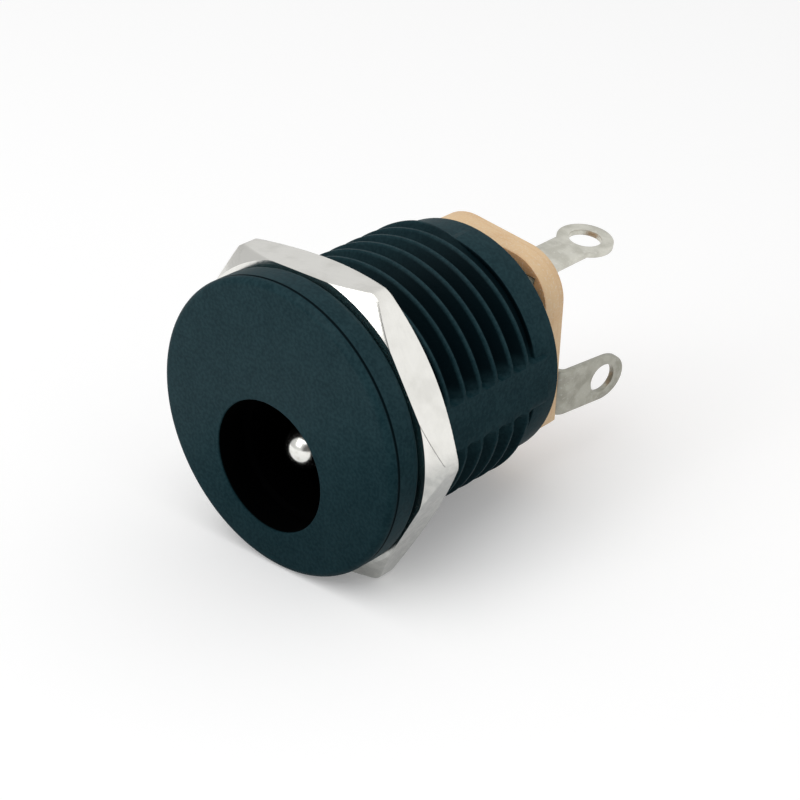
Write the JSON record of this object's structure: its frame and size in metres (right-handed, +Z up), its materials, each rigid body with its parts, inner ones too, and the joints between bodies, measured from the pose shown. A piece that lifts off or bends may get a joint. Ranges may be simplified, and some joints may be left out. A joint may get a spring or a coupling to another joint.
{
  "type": "dc barrel jack",
  "caption": "Panel-mount DC barrel jack: round flange with an off-centre plug opening and centre pin, threaded barrel with hex nut, terminal board and solder lugs.",
  "frame": {"origin": "centre of the plug opening in the flange's front face", "axes": "+Y the way the plug goes in, +Z up, parallel to the nut's upper flat's normal"},
  "size_m": [0.016, 0.0197, 0.014],
  "materials": {
    "black_plastic": "fine satin moulded",
    "nickel": "bright nickel plate",
    "pin_metal": "polished nickel plate",
    "phenolic": "punched phenolic sheet",
    "tinned_strip": "dull tinned sheet"
  },
  "bodies": {
    "root": {"housing": "black_plastic", "hex_nut": "nickel", "centre_pin": "pin_metal", "terminal_board": "phenolic", "pin_lug": "tinned_strip", "sleeve_contact": "tinned_strip"}
  },
  "joints": []
}
